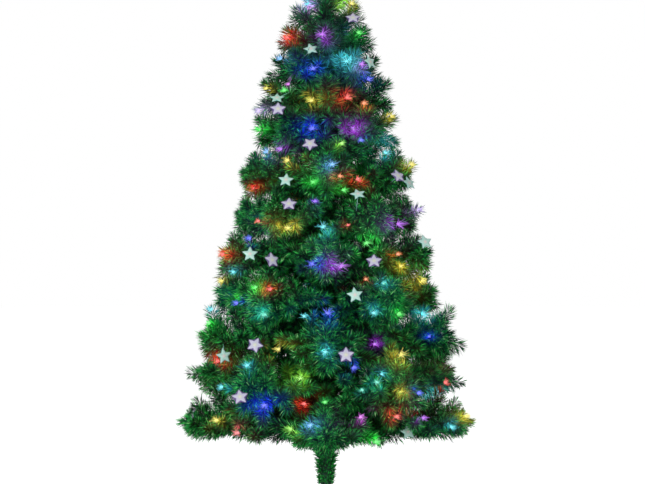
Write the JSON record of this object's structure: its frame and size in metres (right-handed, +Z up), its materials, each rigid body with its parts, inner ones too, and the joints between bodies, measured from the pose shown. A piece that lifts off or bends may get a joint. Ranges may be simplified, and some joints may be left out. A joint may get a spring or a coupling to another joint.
{
  "type": "fiber optic christmas tree",
  "caption": "Artificial tree of hinged needle branches with lit fibre ends and small stars, on a plug-together trunk in a folding cross-leg stand.",
  "frame": {"origin": "on the floor, on the trunk's axis", "axes": "+Z up the trunk; the front of the tree looks along -Y; +X to its right seen from the front"},
  "size_m": [0.969, 0.9732, 1.8],
  "materials": {
    "needles": "satin",
    "star_film": "satin",
    "fibre_light": "gloss",
    "twig_wire": "satin",
    "ring_plastic": "satin",
    "trunk_tube": "satin",
    "stand_steel": "satin",
    "zinc": "satin",
    "cap_rubber": "matte",
    "black_plastic": "satin",
    "loom_sleeve": "satin"
  },
  "bodies": {
    "stand": {"socket_tube": "stand_steel", "fixed_leg_pair": "stand_steel", "lock_ring": "zinc", "foot_cap_1": "cap_rubber", "foot_cap_2": "cap_rubber"},
    "swing_legs": {"swing_leg_pair": "stand_steel", "foot_cap_3": "cap_rubber", "foot_cap_4": "cap_rubber"},
    "screw_1": {"thumb_screw_1": "zinc"},
    "screw_2": {"thumb_screw_2": "zinc"},
    "screw_3": {"thumb_screw_3": "zinc"},
    "lower_trunk": {"lower_pole": "trunk_tube", "loom_lower": "loom_sleeve", "dc_inlet": "black_plastic", "trunk_garland": "needles", "hinge_ring_1": "ring_plastic", "hinge_ring_2": "ring_plastic", "hinge_ring_3": "ring_plastic"},
    "upper_trunk": {"upper_pole": "trunk_tube", "loom_upper": "loom_sleeve", "hinge_ring_4": "ring_plastic", "hinge_ring_5": "ring_plastic", "hinge_ring_6": "ring_plastic", "hinge_ring_7": "ring_plastic"},
    "treetop": {"treetop": "needles"},
    "branch_1_1": {"branch_1_1": "needles"},
    "branch_1_2": {"branch_1_2": "needles"},
    "branch_1_3": {"branch_1_3": "needles"},
    "branch_1_4": {"branch_1_4": "needles"},
    "branch_1_5": {"branch_1_5": "needles"},
    "branch_2_1": {"branch_2_1": "needles"},
    "branch_2_2": {"branch_2_2": "needles"},
    "branch_2_3": {"branch_2_3": "needles"},
    "branch_2_4": {"branch_2_4": "needles"},
    "branch_2_5": {"branch_2_5": "needles"},
    "branch_3_1": {"branch_3_1": "needles"},
    "branch_3_2": {"branch_3_2": "needles"},
    "branch_3_3": {"branch_3_3": "needles"},
    "branch_3_4": {"branch_3_4": "needles"},
    "branch_3_5": {"branch_3_5": "needles"},
    "branch_4_1": {"branch_4_1": "needles"},
    "branch_4_2": {"branch_4_2": "needles"},
    "branch_4_3": {"branch_4_3": "needles"},
    "branch_4_4": {"branch_4_4": "needles"},
    "branch_4_5": {"branch_4_5": "needles"},
    "branch_5_1": {"branch_5_1": "needles"},
    "branch_5_2": {"branch_5_2": "needles"},
    "branch_5_3": {"branch_5_3": "needles"},
    "branch_5_4": {"branch_5_4": "needles"},
    "branch_5_5": {"branch_5_5": "needles"},
    "branch_6_1": {"branch_6_1": "needles"},
    "branch_6_2": {"branch_6_2": "needles"},
    "branch_6_3": {"branch_6_3": "needles"},
    "branch_6_4": {"branch_6_4": "needles"},
    "branch_6_5": {"branch_6_5": "needles"},
    "branch_7_1": {"branch_7_1": "needles"},
    "branch_7_2": {"branch_7_2": "needles"},
    "branch_7_3": {"branch_7_3": "needles"},
    "branch_7_4": {"branch_7_4": "needles"},
    "branch_7_5": {"branch_7_5": "needles"}
  },
  "joints": [
    {"name": "legs_swing", "type": "hinge", "parent": "stand", "child": "swing_legs", "pos_m": [0, 0, 0.046], "axis": [0, 0, 1], "range_deg": [0, 75]},
    {"name": "screw_1_turn_out", "type": "slide", "parent": "stand", "child": "screw_1", "axis": [0, 1, 0], "range_m": [0, 0.007]},
    {"name": "screw_2_turn_out", "type": "slide", "parent": "stand", "child": "screw_2", "axis": [-0.866, -0.5, 0], "range_m": [0, 0.007]},
    {"name": "screw_3_turn_out", "type": "slide", "parent": "stand", "child": "screw_3", "axis": [0.866, -0.5, 0], "range_m": [0, 0.007]},
    {"name": "lower_trunk_lift", "type": "slide", "parent": "stand", "child": "lower_trunk", "axis": [0, 0, 1], "range_m": [0, 0.07]},
    {"name": "upper_trunk_lift", "type": "slide", "parent": "lower_trunk", "child": "upper_trunk", "axis": [0, 0, 1], "range_m": [0, 0.08]},
    {"name": "treetop_lift", "type": "slide", "parent": "upper_trunk", "child": "treetop", "axis": [0, 0, 1], "range_m": [0, 0.08]},
    {"name": "fold_1_1", "type": "hinge", "parent": "lower_trunk", "child": "branch_1_1", "pos_m": [0, -0.026, 0.305], "axis": [-1, 0, 0], "range_deg": [0, 38]},
    {"name": "fold_1_2", "type": "hinge", "parent": "lower_trunk", "child": "branch_1_2", "pos_m": [0.02473, -0.00803, 0.305], "axis": [-0.309, -0.9511, 0], "range_deg": [0, 38]},
    {"name": "fold_1_3", "type": "hinge", "parent": "lower_trunk", "child": "branch_1_3", "pos_m": [0.01528, 0.02103, 0.305], "axis": [0.809, -0.5878, 0], "range_deg": [0, 38]},
    {"name": "fold_1_4", "type": "hinge", "parent": "lower_trunk", "child": "branch_1_4", "pos_m": [-0.01528, 0.02103, 0.305], "axis": [0.809, 0.5878, 0], "range_deg": [0, 38]},
    {"name": "fold_1_5", "type": "hinge", "parent": "lower_trunk", "child": "branch_1_5", "pos_m": [-0.02473, -0.00803, 0.305], "axis": [-0.309, 0.9511, 0], "range_deg": [0, 38]},
    {"name": "fold_2_1", "type": "hinge", "parent": "lower_trunk", "child": "branch_2_1", "pos_m": [0, 0.026, 0.425], "axis": [1, 0, 0], "range_deg": [0, 38]},
    {"name": "fold_2_2", "type": "hinge", "parent": "lower_trunk", "child": "branch_2_2", "pos_m": [-0.02473, 0.00803, 0.425], "axis": [0.309, 0.9511, 0], "range_deg": [0, 38]},
    {"name": "fold_2_3", "type": "hinge", "parent": "lower_trunk", "child": "branch_2_3", "pos_m": [-0.01528, -0.02103, 0.425], "axis": [-0.809, 0.5878, 0], "range_deg": [0, 38]},
    {"name": "fold_2_4", "type": "hinge", "parent": "lower_trunk", "child": "branch_2_4", "pos_m": [0.01528, -0.02103, 0.425], "axis": [-0.809, -0.5878, 0], "range_deg": [0, 38]},
    {"name": "fold_2_5", "type": "hinge", "parent": "lower_trunk", "child": "branch_2_5", "pos_m": [0.02473, 0.00803, 0.425], "axis": [0.309, -0.9511, 0], "range_deg": [0, 38]},
    {"name": "fold_3_1", "type": "hinge", "parent": "lower_trunk", "child": "branch_3_1", "pos_m": [0, -0.026, 0.545], "axis": [-1, 0, 0], "range_deg": [0, 38]},
    {"name": "fold_3_2", "type": "hinge", "parent": "lower_trunk", "child": "branch_3_2", "pos_m": [0.02473, -0.00803, 0.545], "axis": [-0.309, -0.9511, 0], "range_deg": [0, 38]},
    {"name": "fold_3_3", "type": "hinge", "parent": "lower_trunk", "child": "branch_3_3", "pos_m": [0.01528, 0.02103, 0.545], "axis": [0.809, -0.5878, 0], "range_deg": [0, 38]},
    {"name": "fold_3_4", "type": "hinge", "parent": "lower_trunk", "child": "branch_3_4", "pos_m": [-0.01528, 0.02103, 0.545], "axis": [0.809, 0.5878, 0], "range_deg": [0, 38]},
    {"name": "fold_3_5", "type": "hinge", "parent": "lower_trunk", "child": "branch_3_5", "pos_m": [-0.02473, -0.00803, 0.545], "axis": [-0.309, 0.9511, 0], "range_deg": [0, 38]},
    {"name": "fold_4_1", "type": "hinge", "parent": "upper_trunk", "child": "branch_4_1", "pos_m": [0, 0.026, 0.665], "axis": [1, 0, 0], "range_deg": [0, 38]},
    {"name": "fold_4_2", "type": "hinge", "parent": "upper_trunk", "child": "branch_4_2", "pos_m": [-0.02473, 0.00803, 0.665], "axis": [0.309, 0.9511, 0], "range_deg": [0, 38]},
    {"name": "fold_4_3", "type": "hinge", "parent": "upper_trunk", "child": "branch_4_3", "pos_m": [-0.01528, -0.02103, 0.665], "axis": [-0.809, 0.5878, 0], "range_deg": [0, 38]},
    {"name": "fold_4_4", "type": "hinge", "parent": "upper_trunk", "child": "branch_4_4", "pos_m": [0.01528, -0.02103, 0.665], "axis": [-0.809, -0.5878, 0], "range_deg": [0, 38]},
    {"name": "fold_4_5", "type": "hinge", "parent": "upper_trunk", "child": "branch_4_5", "pos_m": [0.02473, 0.00803, 0.665], "axis": [0.309, -0.9511, 0], "range_deg": [0, 38]},
    {"name": "fold_5_1", "type": "hinge", "parent": "upper_trunk", "child": "branch_5_1", "pos_m": [0, -0.026, 0.785], "axis": [-1, 0, 0], "range_deg": [0, 38]},
    {"name": "fold_5_2", "type": "hinge", "parent": "upper_trunk", "child": "branch_5_2", "pos_m": [0.02473, -0.00803, 0.785], "axis": [-0.309, -0.9511, 0], "range_deg": [0, 38]},
    {"name": "fold_5_3", "type": "hinge", "parent": "upper_trunk", "child": "branch_5_3", "pos_m": [0.01528, 0.02103, 0.785], "axis": [0.809, -0.5878, 0], "range_deg": [0, 38]},
    {"name": "fold_5_4", "type": "hinge", "parent": "upper_trunk", "child": "branch_5_4", "pos_m": [-0.01528, 0.02103, 0.785], "axis": [0.809, 0.5878, 0], "range_deg": [0, 38]},
    {"name": "fold_5_5", "type": "hinge", "parent": "upper_trunk", "child": "branch_5_5", "pos_m": [-0.02473, -0.00803, 0.785], "axis": [-0.309, 0.9511, 0], "range_deg": [0, 38]},
    {"name": "fold_6_1", "type": "hinge", "parent": "upper_trunk", "child": "branch_6_1", "pos_m": [0, 0.026, 0.905], "axis": [1, 0, 0], "range_deg": [0, 38]},
    {"name": "fold_6_2", "type": "hinge", "parent": "upper_trunk", "child": "branch_6_2", "pos_m": [-0.02473, 0.00803, 0.905], "axis": [0.309, 0.9511, 0], "range_deg": [0, 38]},
    {"name": "fold_6_3", "type": "hinge", "parent": "upper_trunk", "child": "branch_6_3", "pos_m": [-0.01528, -0.02103, 0.905], "axis": [-0.809, 0.5878, 0], "range_deg": [0, 38]},
    {"name": "fold_6_4", "type": "hinge", "parent": "upper_trunk", "child": "branch_6_4", "pos_m": [0.01528, -0.02103, 0.905], "axis": [-0.809, -0.5878, 0], "range_deg": [0, 38]},
    {"name": "fold_6_5", "type": "hinge", "parent": "upper_trunk", "child": "branch_6_5", "pos_m": [0.02473, 0.00803, 0.905], "axis": [0.309, -0.9511, 0], "range_deg": [0, 38]},
    {"name": "fold_7_1", "type": "hinge", "parent": "upper_trunk", "child": "branch_7_1", "pos_m": [0, -0.026, 1.025], "axis": [-1, 0, 0], "range_deg": [0, 38]},
    {"name": "fold_7_2", "type": "hinge", "parent": "upper_trunk", "child": "branch_7_2", "pos_m": [0.02473, -0.00803, 1.025], "axis": [-0.309, -0.9511, 0], "range_deg": [0, 38]},
    {"name": "fold_7_3", "type": "hinge", "parent": "upper_trunk", "child": "branch_7_3", "pos_m": [0.01528, 0.02103, 1.025], "axis": [0.809, -0.5878, 0], "range_deg": [0, 38]},
    {"name": "fold_7_4", "type": "hinge", "parent": "upper_trunk", "child": "branch_7_4", "pos_m": [-0.01528, 0.02103, 1.025], "axis": [0.809, 0.5878, 0], "range_deg": [0, 38]},
    {"name": "fold_7_5", "type": "hinge", "parent": "upper_trunk", "child": "branch_7_5", "pos_m": [-0.02473, -0.00803, 1.025], "axis": [-0.309, 0.9511, 0], "range_deg": [0, 38]}
  ],
  "couplings": [
    {"joint": "fold_1_2", "follows": "fold_1_1", "ratio": 1},
    {"joint": "fold_1_3", "follows": "fold_1_1", "ratio": 1},
    {"joint": "fold_1_4", "follows": "fold_1_1", "ratio": 1},
    {"joint": "fold_1_5", "follows": "fold_1_1", "ratio": 1},
    {"joint": "fold_2_1", "follows": "fold_1_1", "ratio": 1},
    {"joint": "fold_2_2", "follows": "fold_1_1", "ratio": 1},
    {"joint": "fold_2_3", "follows": "fold_1_1", "ratio": 1},
    {"joint": "fold_2_4", "follows": "fold_1_1", "ratio": 1},
    {"joint": "fold_2_5", "follows": "fold_1_1", "ratio": 1},
    {"joint": "fold_3_1", "follows": "fold_1_1", "ratio": 1},
    {"joint": "fold_3_2", "follows": "fold_1_1", "ratio": 1},
    {"joint": "fold_3_3", "follows": "fold_1_1", "ratio": 1},
    {"joint": "fold_3_4", "follows": "fold_1_1", "ratio": 1},
    {"joint": "fold_3_5", "follows": "fold_1_1", "ratio": 1},
    {"joint": "fold_4_1", "follows": "fold_1_1", "ratio": 1},
    {"joint": "fold_4_2", "follows": "fold_1_1", "ratio": 1},
    {"joint": "fold_4_3", "follows": "fold_1_1", "ratio": 1},
    {"joint": "fold_4_4", "follows": "fold_1_1", "ratio": 1},
    {"joint": "fold_4_5", "follows": "fold_1_1", "ratio": 1},
    {"joint": "fold_5_1", "follows": "fold_1_1", "ratio": 1},
    {"joint": "fold_5_2", "follows": "fold_1_1", "ratio": 1},
    {"joint": "fold_5_3", "follows": "fold_1_1", "ratio": 1},
    {"joint": "fold_5_4", "follows": "fold_1_1", "ratio": 1},
    {"joint": "fold_5_5", "follows": "fold_1_1", "ratio": 1},
    {"joint": "fold_6_1", "follows": "fold_1_1", "ratio": 1},
    {"joint": "fold_6_2", "follows": "fold_1_1", "ratio": 1},
    {"joint": "fold_6_3", "follows": "fold_1_1", "ratio": 1},
    {"joint": "fold_6_4", "follows": "fold_1_1", "ratio": 1},
    {"joint": "fold_6_5", "follows": "fold_1_1", "ratio": 1},
    {"joint": "fold_7_1", "follows": "fold_1_1", "ratio": 1},
    {"joint": "fold_7_2", "follows": "fold_1_1", "ratio": 1},
    {"joint": "fold_7_3", "follows": "fold_1_1", "ratio": 1},
    {"joint": "fold_7_4", "follows": "fold_1_1", "ratio": 1},
    {"joint": "fold_7_5", "follows": "fold_1_1", "ratio": 1}
  ]
}
